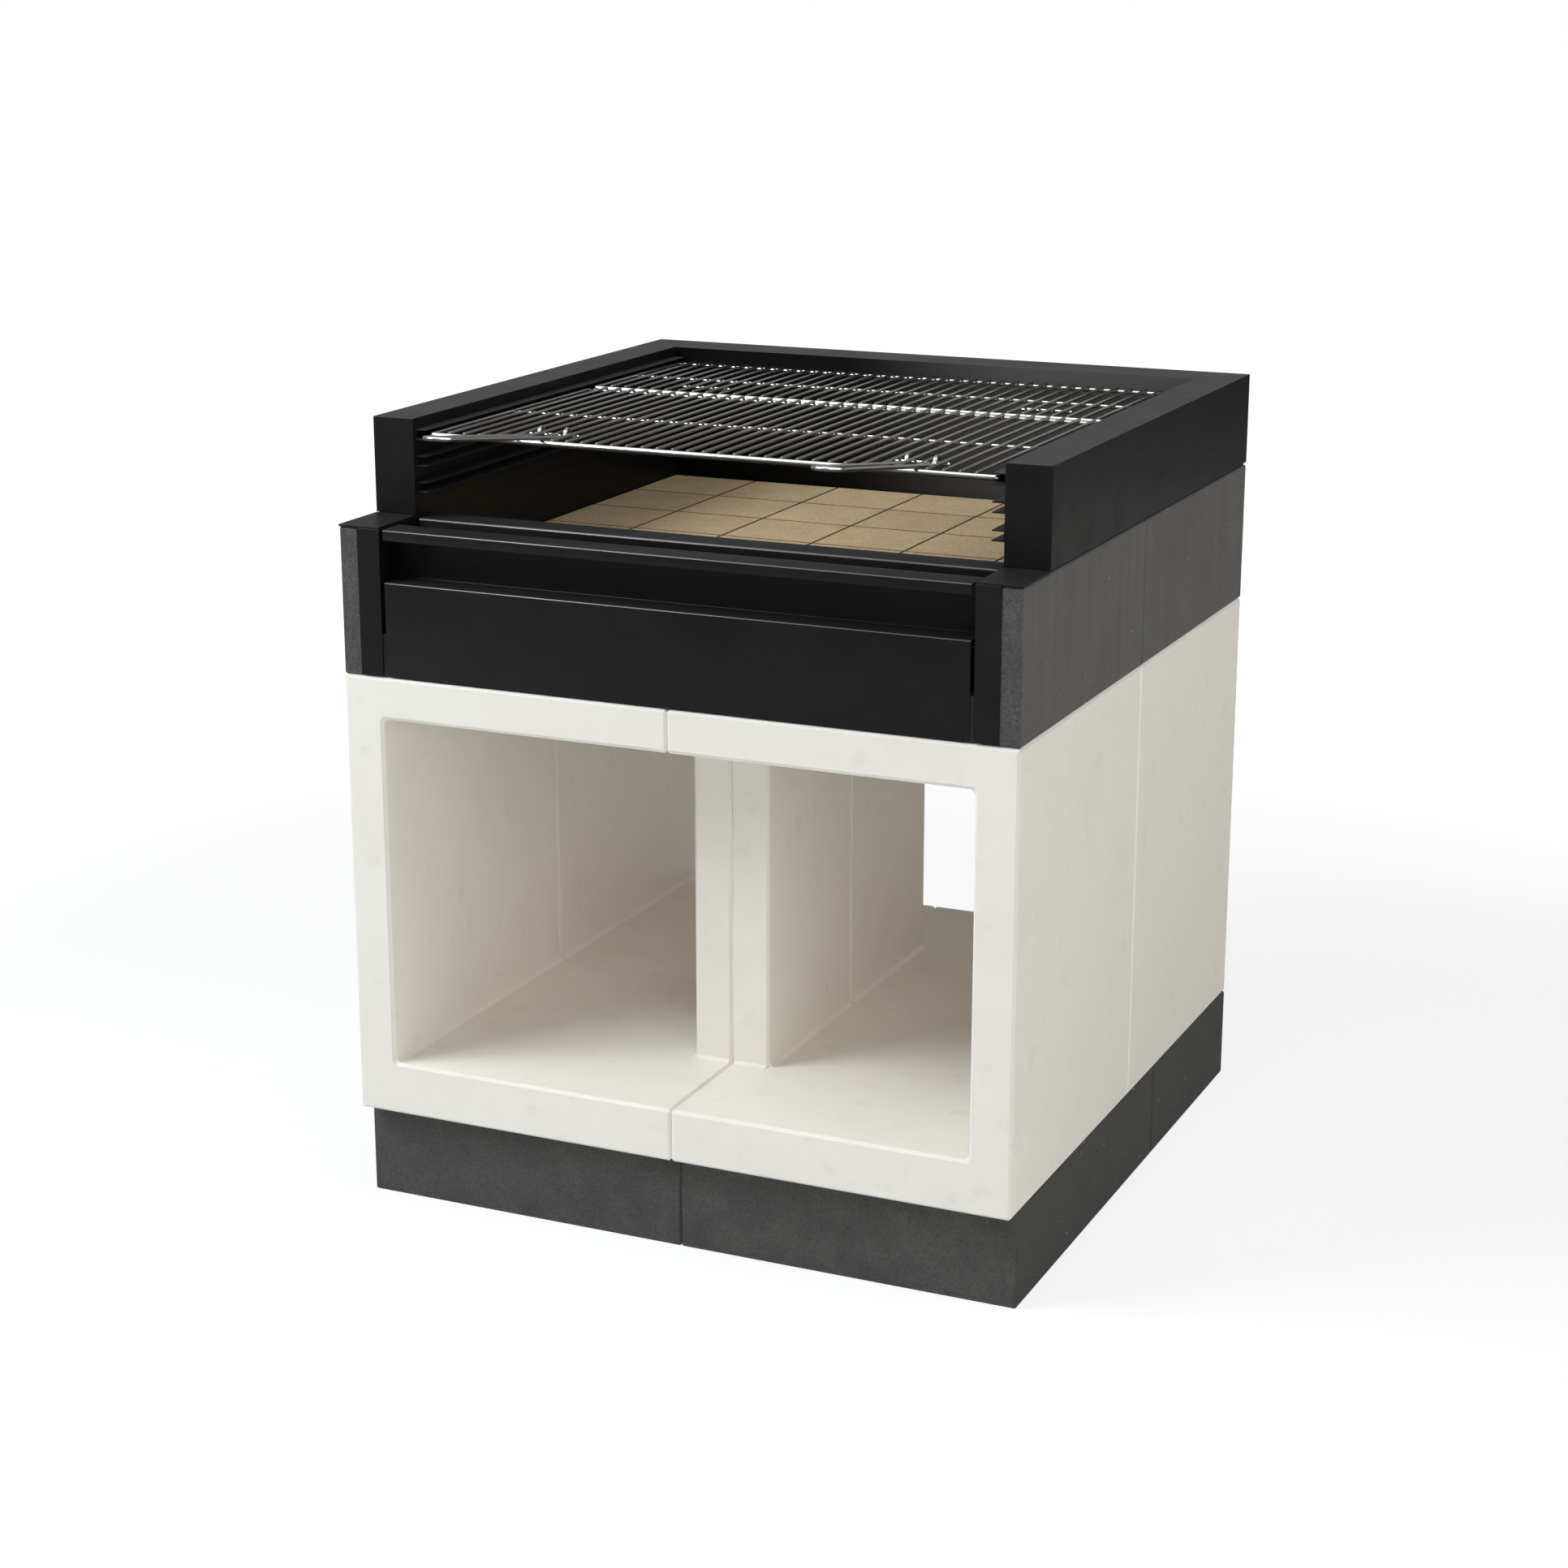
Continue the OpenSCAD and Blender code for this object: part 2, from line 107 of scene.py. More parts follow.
bpy.ops.mesh.primitive_plane_add(size=60, location=(0, 0, 0))
floor = bpy.context.object
floor.name = "floor"
paint = bpy.data.materials.new("floor")
paint.use_nodes = True
tree = paint.node_tree
tree.nodes.clear()
shown_glow = 0.70
out = step(tree, "OutputMaterial")
matte = step(tree, "BsdfDiffuse", [("Color", (0.90, 0.90, 0.90, 1))])
where = step(tree, "TexCoord")
away = step(tree, "VectorMath", [(0, where.outputs["Object"])], operation="LENGTH")
brighter = step(tree, "MapRange", [("Value", away.outputs["Value"]), ("From Min", 1.3), ("From Max", 3.2),
                                   ("To Min", 1.10), ("To Max", 1.45)], interpolation_type="SMOOTHSTEP")
glow = step(tree, "Emission", [("Color", (1, 1, 1, 1)), ("Strength", brighter.outputs["Result"])])
seen = step(tree, "LightPath")
share = step(tree, "Math", [(0, seen.outputs["Is Camera Ray"]), (1, shown_glow)], operation="MULTIPLY")
both = step(tree, "MixShader", [(0, share.outputs[0]), (1, matte.outputs[0]), (2, glow.outputs[0])])
wire(tree, both.outputs[0], out.inputs["Surface"])
floor.data.materials.append(paint)

cool, plain, warm = (0.89, 0.945, 1.0), (0.97, 0.985, 1.0), (1.0, 0.94, 0.86)
lit_point = Vector((0, 0, 0.45))
for name, place, size, power, tint in (
    ("key lamp", (-2.48, -2.40, 3.29), 1.8, 106, cool),
    ("left lamp", (-2.95, -1.57, 3.41), 1.4, 62, cool),
    ("front lamp", (2.62, -3.12, 2.30), 2.4, 40, plain),
    ("low lamp", (1.90, -4.08, 0.65), 1.2, 11, plain),
    ("side lamp", (3.52, -0.43, 3.17), 2.4, 58, plain),
    ("back lamp", (1.49, 4.08, 1.56), 2.4, 40, warm),
    ("top lamp", (0.0, -0.05, 4.90), 2.4, 10, plain),
):
    lamp = bpy.data.lights.new(name, "AREA")
    lamp.shape = "SQUARE"
    lamp.size = size
    lamp.energy = power
    lamp.color = tint
    holder = bpy.data.objects.new(name, lamp)
    holder.location = place
    holder.rotation_euler = (lit_point - Vector(place)).to_track_quat("-Z", "Y").to_euler()
    holder.visible_glossy = name != "back lamp"
    scene.collection.objects.link(holder)


# Plinth
# Four slabs of dark concrete on the ground, set back at the front so that feet fit
# under the base. Cast in smooth moulds: fine grain, pale clouds and small pale specks.
def group(name, inputs, outputs):
    """Starts a group of nodes. Gives the group, and the nodes that hold its inputs and outputs."""
    made = bpy.data.node_groups.new(name, "ShaderNodeTree")
    for title, kind, value in inputs:
        socket = made.interface.new_socket(name=title, in_out="INPUT", socket_type="NodeSocket" + kind)
        if value is not None:
            socket.default_value = value
    for title, kind in outputs:
        made.interface.new_socket(name=title, in_out="OUTPUT", socket_type="NodeSocket" + kind)
    return made, made.nodes.new("NodeGroupInput"), made.nodes.new("NodeGroupOutput")


# Clouds: a slow drift between two tones, as in anything cast or fired.
clouds, given, result = group(
    "clouds",
    [("Position", "Vector", None), ("Size", "Float", 0.2), ("Tone", "Color", (0.5, 0.5, 0.5, 1)),
     ("Cloud", "Color", (0.6, 0.6, 0.6, 1)), ("Low", "Float", 0.42), ("High", "Float", 0.70)],
    [("Color", "Color"), ("Value", "Float")],
)
per_metre = step(clouds, "Math", [(0, 1.0), (1, given.outputs["Size"])], operation="DIVIDE")
drift = step(clouds, "TexNoise", [("Vector", given.outputs["Position"]), ("Scale", per_metre.outputs[0]),
                                  ("Detail", 5.0), ("Roughness", 0.62), ("Distortion", 0.35)])
spread = step(clouds, "MapRange", [("Value", drift.outputs["Fac"]), ("From Min", given.outputs["Low"]),
                                   ("From Max", given.outputs["High"])], interpolation_type="SMOOTHSTEP")
blend = step(clouds, "Mix", [(0, spread.outputs["Result"]), (6, given.outputs["Tone"]),
                             (7, given.outputs["Cloud"])], data_type="RGBA")
wire(clouds, blend.outputs[2], result.inputs["Color"])
wire(clouds, spread.outputs["Result"], result.inputs["Value"])

# Specks: scattered dots of one size, with a share of the cells left empty.
specks, given, result = group(
    "specks",
    [("Position", "Vector", None), ("Spacing", "Float", 0.02), ("Radius", "Float", 0.1),
     ("Share", "Float", 0.3)],
    [("Mask", "Float")],
)
per_metre = step(specks, "Math", [(0, 1.0), (1, given.outputs["Spacing"])], operation="DIVIDE")
cells = step(specks, "TexVoronoi", [("Vector", given.outputs["Position"]), ("Scale", per_metre.outputs[0])])
chosen = step(specks, "SeparateColor", [(0, cells.outputs["Color"])])
kept = step(specks, "Math", [(0, chosen.outputs[0]), (1, given.outputs["Share"])], operation="LESS_THAN")
reach = step(specks, "Math", [(0, chosen.outputs[1]), (1, given.outputs["Radius"])], operation="MULTIPLY")
dot = step(specks, "MapRange", [("Value", cells.outputs["Distance"]), ("From Min", reach.outputs[0]),
                                ("From Max", 0.0)], interpolation_type="SMOOTHSTEP")
mask = step(specks, "Math", [(0, dot.outputs["Result"]), (1, kept.outputs[0])], operation="MULTIPLY")
wire(specks, mask.outputs[0], result.inputs["Mask"])

# Dark cast: a cloudy tone with a flaky grain, which is stronger on the ends that face the
# front, with streaks down the mould and pale specks of two sizes.
dark_cast, given, result = group(
    "dark cast",
    [("Position", "Vector", None), ("Facing", "Vector", None), ("Tone", "Color", (0.06, 0.06, 0.05, 1)),
     ("Cloud", "Color", (0.08, 0.07, 0.07, 1)), ("Grain", "Float", 0.3), ("End Grain", "Float", 0.3),
     ("Side", "Float", 1.0), ("Streak", "Float", 0.05)],
    [("Color", "Color"), ("Roughness", "Float"), ("Normal", "Vector")],
)
tree = dark_cast
drift = step(tree, "Group", [("Position", given.outputs["Position"]), ("Size", 0.07),
                             ("Tone", given.outputs["Tone"]), ("Cloud", given.outputs["Cloud"]),
                             ("Low", 0.38), ("High", 0.72)], node_tree=clouds)
apart = step(tree, "SeparateXYZ", [(0, given.outputs["Facing"])])
amount = step(tree, "MapRange", [("Value", apart.outputs["Y"]), ("From Min", -0.5), ("From Max", -0.9),
                                 ("To Min", given.outputs["Grain"]), ("To Max", given.outputs["End Grain"])])
flakes = step(tree, "TexNoise", [("Vector", given.outputs["Position"]), ("Scale", 330.0), ("Detail", 4.0),
                                 ("Roughness", 0.72), ("Distortion", 0.3)])
about = step(tree, "MapRange", [("Value", flakes.outputs["Fac"]), ("From Min", 0.30), ("From Max", 0.70),
                                ("To Min", -1.0), ("To Max", 1.0)])
grained = step(tree, "Math", [(0, about.outputs["Result"]), (1, amount.outputs["Result"]), (2, 1.0)],
               operation="MULTIPLY_ADD")
drawn = step(tree, "Mapping", [("Vector", given.outputs["Position"]), ("Scale", (1.0, 1.0, 0.06))])
runs = step(tree, "TexNoise", [("Vector", drawn.outputs["Vector"]), ("Scale", 55.0), ("Detail", 3.0)])
darkest = step(tree, "Math", [(0, 1.0), (1, given.outputs["Streak"])], operation="SUBTRACT")
lightest = step(tree, "Math", [(0, 1.0), (1, given.outputs["Streak"])], operation="ADD")
run_down = step(tree, "MapRange", [("Value", runs.outputs["Fac"]), ("From Min", 0.35), ("From Max", 0.65),
                                   ("To Min", darkest.outputs[0]), ("To Max", lightest.outputs[0])])
light = step(tree, "Math", [(0, grained.outputs[0]), (1, run_down.outputs["Result"])], operation="MULTIPLY")
# Faces towards +X are scaled by the side factor: painted shade where it is below 1, painted light where it
# is above.
painted_side_shading = step(tree, "MapRange", [("Value", apart.outputs["X"]), ("From Min", 0.5), ("From Max", 0.9),
                                   ("To Min", 1.0), ("To Max", given.outputs["Side"])])
shade = step(tree, "Math", [(0, light.outputs[0]), (1, painted_side_shading.outputs["Result"])], operation="MULTIPLY")
toned = step(tree, "VectorMath", [(0, drift.outputs["Color"]), ("Scale", shade.outputs[0])],
             operation="SCALE")
large = step(tree, "Group", [("Position", given.outputs["Position"]), ("Spacing", 0.015),
                             ("Radius", 0.140), ("Share", 0.75)], node_tree=specks)
small = step(tree, "Group", [("Position", given.outputs["Position"]), ("Spacing", 0.005),
                             ("Radius", 0.170), ("Share", 0.60)], node_tree=specks)
faint = step(tree, "Math", [(0, small.outputs["Mask"]), (1, 0.20)], operation="MULTIPLY")
dotted = step(tree, "Math", [(0, faint.outputs[0]), (1, large.outputs["Mask"])], operation="MAXIMUM")
colour = step(tree, "Mix", [(0, dotted.outputs[0]), (6, toned.outputs[0]), (7, (0.46, 0.45, 0.42, 1))],
              data_type="RGBA")
rough = step(tree, "MapRange", [("Value", drift.outputs["Value"]), ("To Min", 0.62), ("To Max", 0.76)])
relief = step(tree, "Bump", [("Strength", 0.25), ("Distance", 0.0006), ("Height", flakes.outputs["Fac"])])
wire(tree, colour.outputs[2], result.inputs["Color"])
wire(tree, rough.outputs["Result"], result.inputs["Roughness"])
wire(tree, relief.outputs["Normal"], result.inputs["Normal"])


def new_finish(name, all_over):
    """Starts a material. What is the same all over the surface is set on the shader itself."""
    material = bpy.data.materials.new(name)
    material.use_nodes = True
    skin = material.node_tree.nodes["Principled BSDF"]
    for socket, value in all_over.items():
        skin.inputs[socket].default_value = value
    return material, material.node_tree, skin


def grouped_finish(name, effect, all_over, own):
    """A material whose colour, roughness and relief come from one group of nodes."""
    material, tree, skin = new_finish(name, all_over)
    where = step(tree, "TexCoord")
    turn = step(tree, "NewGeometry")
    here = [("Position", where.outputs["Object"]), ("Facing", turn.outputs["Normal"])]
    made = step(tree, "Group", here + own, node_tree=effect)
    wire(tree, made.outputs["Color"], skin.inputs["Base Color"])
    wire(tree, made.outputs["Roughness"], skin.inputs["Roughness"])
    wire(tree, made.outputs["Normal"], skin.inputs["Normal"])
    return material


def finish_node(name, material, round_off, segments=2):
    """Gives a CAD node its material and a small round on its edges."""
    node = frame["nodes"][name]
    node.data.materials.clear()
    node.data.materials.append(material)
    for face in node.data.polygons:
        face.use_smooth = True
    joined = node.modifiers.new("joined", "WELD")
    joined.merge_threshold = 0.00002
    eased = node.modifiers.new("eased", "BEVEL")
    eased.width = round_off
    eased.segments = segments
    eased.limit_method = "ANGLE"
    eased.angle_limit = radians(25)
    node.modifiers.new("shaded", "WEIGHTED_NORMAL")


# The plinth's faces towards +X are painted darker than its front: painted shade.
plinth_concrete = grouped_finish("plinth concrete", dark_cast, {"Specular IOR Level": 0.30}, [
    ("Tone", (0.056, 0.0530, 0.0488, 1)), ("Cloud", (0.078, 0.0740, 0.0680, 1)), ("Grain", 0.30),
    ("End Grain", 0.30), ("Side", 0.74), ("Streak", 0.02)])
for name in ("plinth_front_left", "plinth_front_right", "plinth_rear_left", "plinth_rear_right"):
    finish_node(name, plinth_concrete, 0.0004)

# Base
# Four castings of light concrete that leave a bay for wood right through, with a double
# partition in the middle. Smooth faces, eased edges, faint stains and pinholes, and a
# painted highlight: a paler line where the front castings meet the rear ones.
lit_joint_y = 0.0605
lit_joint_half = 0.0022
light_concrete, tree, skin = new_finish("light concrete", {"Specular IOR Level": 0.3})
where = step(tree, "TexCoord")
wide = step(tree, "Group", [("Position", where.outputs["Object"]), ("Size", 0.16),
                            ("Tone", (0.87, 0.828, 0.747, 1)), ("Cloud", (0.845, 0.797, 0.708, 1)),
                            ("Low", 0.46), ("High", 0.74)], node_tree=clouds)
stain = step(tree, "TexNoise", [("Vector", where.outputs["Object"]), ("Scale", 24.0), ("Detail", 4.0),
                                ("Roughness", 0.6)])
stained = step(tree, "MapRange", [("Value", stain.outputs["Fac"]), ("From Min", 0.60), ("From Max", 0.82),
                                  ("To Min", 0.0), ("To Max", 0.55)])
marked = step(tree, "Mix", [(0, stained.outputs["Result"]), (6, wide.outputs["Color"]),
                            (7, (0.70, 0.655, 0.585, 1))], data_type="RGBA")
holes = step(tree, "Group", [("Position", where.outputs["Object"]), ("Spacing", 0.020), ("Radius", 0.075),
                             ("Share", 0.14)], node_tree=specks)
pitted = step(tree, "Mix", [(0, holes.outputs["Mask"]), (6, marked.outputs[2]), (7, (0.50, 0.455, 0.39, 1))],
              data_type="RGBA")
# A band round the joint between front and rear castings is painted paler: a painted highlight over the
# joint's shadow.
apart = step(tree, "SeparateXYZ", [(0, where.outputs["Object"])])
painted_joint_light = step(tree, "Math", [(0, apart.outputs["Y"]), (1, lit_joint_y), (2, lit_joint_half)],
              operation="COMPARE")
colour = step(tree, "Mix", [(0, painted_joint_light.outputs[0]), (6, pitted.outputs[2]), (7, (0.93, 0.90, 0.84, 1))],
              data_type="RGBA")
wire(tree, colour.outputs[2], skin.inputs["Base Color"])
rough = step(tree, "MapRange", [("Value", wide.outputs["Value"]), ("To Min", 0.55), ("To Max", 0.70)])
wire(tree, rough.outputs["Result"], skin.inputs["Roughness"])
skim = step(tree, "TexNoise", [("Vector", where.outputs["Object"]), ("Scale", 60.0), ("Detail", 6.0)])
hollow = step(tree, "Math", [(0, skim.outputs["Fac"]), (1, holes.outputs["Mask"])], operation="SUBTRACT")
relief = step(tree, "Bump", [("Strength", 0.18), ("Distance", 0.0008), ("Height", hollow.outputs[0])])
wire(tree, relief.outputs["Normal"], skin.inputs["Normal"])
for name in ("base_front_left", "base_front_right", "base_rear_left", "base_rear_right"):
    finish_node(name, light_concrete, 0.0010, 3)

# Hearth
# A trough in two halves, of dark concrete like the plinth but poured against smoother
# moulds, a little paler and with faint streaks down its sides. Its faces towards +X are
# painted paler still: a painted reflection.
hearth_concrete = grouped_finish("hearth concrete", dark_cast, {"Specular IOR Level": 0.30}, [
    ("Tone", (0.062, 0.0590, 0.0545, 1)), ("Cloud", (0.074, 0.0705, 0.0655, 1)), ("Grain", 0.14),
    ("End Grain", 0.50), ("Side", 1.52), ("Streak", 0.06)])
for name in ("hearth_front", "hearth_rear"):
    finish_node(name, hearth_concrete, 0.0007)

# Steel lining and surround
# Sheet steel, folded and coated satin black: the fire pan that hangs in the trough, the
# strips beside the drawer, the walls round the fire and the rails for the grids. The bends
# that face up and forward, except high in the front half where the posts are, are painted
# as bare grey metal to carry a painted highlight. Faces that look up carry a painted sheen,
# stronger higher up; the inside of the back wall and, in part, the faces towards +X are
# painted near black as painted shade; and the back wall's inside is painted grey towards +X,
# a painted pool of light.
clear_of_posts_y = 0.0
below_posts_z = 0.8565
back_wall_y = 0.38
painted_light_x = (-0.14, 0.18)
black_steel, tree, skin = new_finish("black steel", {"Specular IOR Level": 0.11})
where = step(tree, "TexCoord")
apart = step(tree, "SeparateXYZ", [(0, where.outputs["Object"])])
turn = step(tree, "NewGeometry")
facing = step(tree, "SeparateXYZ", [(0, turn.outputs["Normal"])])
coat = step(tree, "Group", [("Position", where.outputs["Object"]), ("Size", 0.09),
                            ("Tone", (0.0100, 0.0095, 0.0090, 1)), ("Cloud", (0.0120, 0.0114, 0.0108, 1)),
                            ("Low", 0.35), ("High", 0.7)], node_tree=clouds)
# Faces that look up are painted paler, more so higher up: a painted sheen.
sheen_facing_up = step(tree, "MapRange", [("Value", facing.outputs["Z"]), ("From Min", 0.75), ("From Max", 0.98)])
sheen_by_height = step(tree, "MapRange", [("Value", apart.outputs["Z"]), ("From Min", 0.87), ("From Max", 0.97),
                                  ("To Min", 0.015), ("To Max", 0.030)])
with_top_sheen = step(tree, "Mix", [(0, sheen_facing_up.outputs["Result"]), (6, coat.outputs["Color"]),
                           (7, sheen_by_height.outputs["Result"])], data_type="RGBA")
# The inside of the back wall, and in part the faces towards +X, are painted near black: painted shade.
behind = step(tree, "Math", [(0, apart.outputs["Y"]), (1, back_wall_y)], operation="GREATER_THAN")
inward = step(tree, "Math", [(0, facing.outputs["Y"]), (1, -0.7)], operation="LESS_THAN")
on_back = step(tree, "Math", [(0, behind.outputs[0]), (1, inward.outputs[0])], operation="MULTIPLY")
painted_side_shading = step(tree, "MapRange", [("Value", facing.outputs["X"]), ("From Min", 0.6), ("From Max", 0.95),
                                   ("To Min", 0.0), ("To Max", 0.6)])
black = step(tree, "Math", [(0, on_back.outputs[0]), (1, painted_side_shading.outputs["Result"])], operation="MAXIMUM")
with_painted_shade = step(tree, "Mix", [(0, black.outputs[0]), (6, with_top_sheen.outputs[2]), (7, (0.002, 0.002, 0.002, 1))],
              data_type="RGBA")
# The inside of the back wall is painted grey towards +X, as if lit there: a painted pool of light.
painted_light_ramp = step(tree, "MapRange", [("Value", apart.outputs["X"]), ("From Min", painted_light_x[0]),
                                ("From Max", painted_light_x[1])], interpolation_type="SMOOTHSTEP")
painted_light_on_back = step(tree, "Math", [(0, on_back.outputs[0]), (1, painted_light_ramp.outputs["Result"])], operation="MULTIPLY")
with_painted_light = step(tree, "Mix", [(0, painted_light_on_back.outputs[0]), (6, with_painted_shade.outputs[2]), (7, (0.078, 0.076, 0.073, 1))],
             data_type="RGBA")
# Bends that face up and forward, except high in the front half, are made grey bare metal: a painted
# highlight.
forward_up = step(tree, "VectorMath", [(0, turn.outputs["Normal"]), (1, (0.0, -0.7071, 0.7071))],
                  operation="DOT_PRODUCT")
on_bend = step(tree, "MapRange", [("Value", forward_up.outputs["Value"]), ("From Min", 0.90),
                                  ("From Max", 0.97)])
far = step(tree, "Math", [(0, apart.outputs["Y"]), (1, clear_of_posts_y)], operation="GREATER_THAN")
low_down = step(tree, "Math", [(0, apart.outputs["Z"]), (1, below_posts_z)], operation="LESS_THAN")
off_posts = step(tree, "Math", [(0, far.outputs[0]), (1, low_down.outputs[0])], operation="MAXIMUM")
painted_bend_highlight = step(tree, "Math", [(0, on_bend.outputs["Result"]), (1, off_posts.outputs[0])],
              operation="MULTIPLY")
colour = step(tree, "Mix", [(0, painted_bend_highlight.outputs[0]), (6, with_painted_light.outputs[2]), (7, (0.085, 0.085, 0.085, 1))],
              data_type="RGBA")
wire(tree, colour.outputs[2], skin.inputs["Base Color"])
wire(tree, painted_bend_highlight.outputs[0], skin.inputs["Metallic"])
rough = step(tree, "MapRange", [("Value", coat.outputs["Value"]), ("To Min", 0.36), ("To Max", 0.44)])
wire(tree, rough.outputs["Result"], skin.inputs["Roughness"])
peel = step(tree, "TexNoise", [("Vector", where.outputs["Object"]), ("Scale", 700.0), ("Detail", 1.0)])
relief = step(tree, "Bump", [("Strength", 0.06), ("Distance", 0.0003), ("Height", peel.outputs["Fac"])])
wire(tree, relief.outputs["Normal"], skin.inputs["Normal"])
for name in ("fire_pan", "trim_left", "trim_right", "surround"):
    finish_node(name, black_steel, 0.0009)
for side in ("left", "right"):
    for rung in (1, 2, 3):
        finish_node(f"rail_{side}_{rung}", black_steel, 0.0004, 1)


def fold_sheet(name, low_x, high_x, middle, thickness, bend):
    """Folds a strip of sheet. The middle line is a list of Y and Z, from edge to edge."""
    width = high_x - low_x
    near = 0.0001
    bpy.ops.object.select_all(action="DESELECT")
    bpy.ops.mesh.primitive_plane_add(size=width, location=((low_x + high_x) / 2, 0, 0))
    bpy.ops.object.transform_apply(location=True)
    sheet = bpy.context.object
    sheet.name = name
    bpy.ops.object.mode_set(mode="EDIT")
    bpy.ops.mesh.select_mode(type="EDGE")
    for edge_y, (y, z) in ((-width / 2, middle[0]), (width / 2, middle[1])):
        bpy.ops.mesh.select_all(action="DESELECT")
        bpy.ops.object.mode_set(mode="OBJECT")
        for edge in sheet.data.edges:
            edge.select = all(abs(sheet.data.vertices[v].co.y - edge_y) < near for v in edge.vertices)
        bpy.ops.object.mode_set(mode="EDIT")
        bpy.ops.transform.translate(value=(0, y - edge_y, z))
    for (y, z), (next_y, next_z) in zip(middle[1:], middle[2:]):
        bpy.ops.mesh.extrude_region_move(TRANSFORM_OT_translate={"value": (0, next_y - y, next_z - z)})
    bpy.ops.mesh.select_all(action="DESELECT")
    bpy.ops.object.mode_set(mode="OBJECT")
    for edge in sheet.data.edges:
        ends = [sheet.data.vertices[v].co for v in edge.vertices]
        edge.select = abs(ends[0].x - ends[1].x) > width / 2 and any(
            (ends[0].yz - Vector(corner)).length < near for corner in middle[1:-1])
    bpy.ops.object.mode_set(mode="EDIT")
    bpy.ops.mesh.bevel(offset=bend, segments=5, affect="EDGES")
    bpy.ops.mesh.select_all(action="SELECT")
    bpy.ops.mesh.normals_make_consistent(inside=False)
    bpy.ops.object.mode_set(mode="OBJECT")
    walls = sheet.modifiers.new("thickness", "SOLIDIFY")
    walls.thickness = thickness
    walls.offset = 0
    walls.use_even_offset = True
    bpy.ops.object.modifier_apply(modifier=walls.name)
    eased = sheet.modifiers.new("eased", "BEVEL")
    eased.width = thickness * 0.15
    eased.segments = 2
    eased.angle_limit = radians(50)
    bpy.ops.object.modifier_apply(modifier=eased.name)
    bpy.ops.object.shade_smooth_by_angle(angle=radians(35))
    return sheet


# The front wall: an upright face, a flat top and a raked back, in 3 mm sheet.
wall_sheet = 0.003
wall_top = 0.043
wall_bend = 0.0022
low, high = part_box("front_wall")
half = wall_sheet / 2
rake = (high.y - low.y - wall_top) / (high.z - low.z)
half_skew = half * (1 + rake * rake) ** 0.5
front_wall = fold_sheet("front_wall_sheet", low.x, high.x, [
    (low.y + half, low.z), (low.y + half, high.z - half),
    (low.y + wall_top + rake * half - half_skew, high.z - half), (high.y - half_skew, low.z)],
    wall_sheet, wall_bend)
front_wall.data.materials.append(black_steel)
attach(front_wall, "body")
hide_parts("front_wall")

# Firebricks
# Six columns and five rows of square fireclay bricks, laid dry on the fire pan.
# Each brick has its own shade of tan, a sandy grain and a few darker grits.
brick_columns = 6
brick_rows = 5
joint_dark_to = 0.0013
joint_ends = (0.0018, 0.0028)
low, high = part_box("firebrick_1_1")
next_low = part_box("firebrick_1_2")[0]
joint = next_low.x - high.x
brick_pitch = (next_low.x - low.x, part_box("firebrick_2_1")[0].y - low.y, 1.0)
corner = (low.x - joint / 2, low.y - joint / 2, low.z - 0.001)
middle = (0.5, 0.5, 0.5)
firebrick, tree, skin = new_finish("firebrick", {"Specular IOR Level": 0.2, "Roughness": 0.85})
where = step(tree, "TexCoord")
moved = step(tree, "VectorMath", [(0, where.outputs["Object"]), (1, corner)], operation="SUBTRACT")
counted = step(tree, "VectorMath", [(0, moved.outputs[0]), (1, brick_pitch)], operation="DIVIDE")
brick_no = step(tree, "VectorMath", [(0, counted.outputs[0])], operation="FLOOR")
inside = step(tree, "VectorMath", [(0, counted.outputs[0])], operation="FRACTION")
centred = step(tree, "VectorMath", [(0, inside.outputs[0]), (1, middle)], operation="SUBTRACT")
either_way = step(tree, "VectorMath", [(0, centred.outputs[0])], operation="ABSOLUTE")
edge_off = step(tree, "VectorMath", [(0, middle), (1, either_way.outputs[0])], operation="SUBTRACT")
in_metres = step(tree, "VectorMath", [(0, edge_off.outputs[0]), (1, brick_pitch)], operation="MULTIPLY")
sides = step(tree, "SeparateXYZ", [(0, in_metres.outputs[0])])
nearest = step(tree, "Math", [(0, sides.outputs["X"]), (1, sides.outputs["Y"])], operation="MINIMUM")
crumbled = step(tree, "TexNoise", [("Vector", where.outputs["Object"]), ("Scale", 160.0), ("Detail", 3.0)])
uneven = step(tree, "MapRange", [("Value", crumbled.outputs["Fac"]), ("From Min", 0.3), ("From Max", 0.7),
                                 ("To Min", joint_ends[0]), ("To Max", joint_ends[1])])
open_joint = step(tree, "MapRange", [("Value", nearest.outputs[0]), ("From Min", joint_dark_to),
                                     ("From Max", uneven.outputs["Result"]), ("To Min", 0.10)],
                  interpolation_type="SMOOTHSTEP")
own = step(tree, "TexWhiteNoise", [("Vector", brick_no.outputs[0])], noise_dimensions="3D")
shade = step(tree, "MapRange", [("Value", own.outputs["Value"]), ("To Min", 0.93), ("To Max", 1.05)])
clay = step(tree, "Group", [("Position", where.outputs["Object"]), ("Size", 0.05),
                            ("Tone", (0.755, 0.560, 0.330, 1)), ("Cloud", (0.825, 0.622, 0.374, 1)),
                            ("Low", 0.35), ("High", 0.7)], node_tree=clouds)
grit = step(tree, "TexNoise", [("Vector", where.outputs["Object"]), ("Scale", 260.0), ("Detail", 5.0),
                               ("Roughness", 0.82)])
gritty = step(tree, "MapRange", [("Value", grit.outputs["Fac"]), ("From Min", 0.3), ("From Max", 0.7),
                                 ("To Min", 0.70), ("To Max", 1.22)])
light = step(tree, "Math", [(0, gritty.outputs["Result"]), (1, shade.outputs["Result"])],
             operation="MULTIPLY")
dimmed = step(tree, "Math", [(0, light.outputs[0]), (1, open_joint.outputs["Result"])], operation="MULTIPLY")
